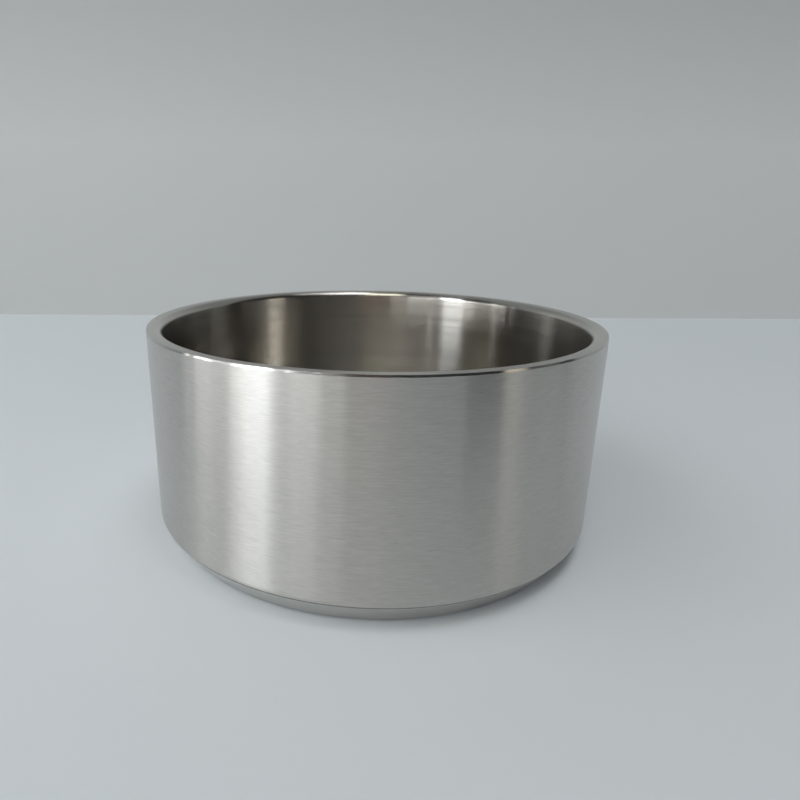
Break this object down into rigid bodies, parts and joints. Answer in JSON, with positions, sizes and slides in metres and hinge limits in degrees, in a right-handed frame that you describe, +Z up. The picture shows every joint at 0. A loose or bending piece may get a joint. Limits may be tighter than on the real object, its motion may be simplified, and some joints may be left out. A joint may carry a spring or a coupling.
{
  "type": "shaving bowl",
  "caption": "Round double-wall steel bowl for working up lather: straight brushed side, flat polished-edge rim and a sloping band down to its foot.",
  "frame": {"origin": "centre of the circle that the foot ring stands on, in the plane of the table", "axes": "+Z up along the bowl's axis; the bowl is the same all round, so X and Y are free"},
  "size_m": [0.11, 0.11, 0.052],
  "materials": {
    "brushed_steel": "straight brushed round the bowl, grain fine and level",
    "polished_steel": "fine satin, turned marks round the bowl, near mirror",
    "smooth_steel": "smooth rolled sheet, half mirror",
    "ground_weld": "ground flush and polished",
    "plug_steel": "plain turned"
  },
  "bodies": {
    "root": {"inner_bowl": "polished_steel", "outer_wall": "brushed_steel", "base_cup": "smooth_steel", "rim_weld": "ground_weld", "base_weld": "ground_weld", "vent_plug": "plug_steel"}
  },
  "joints": []
}
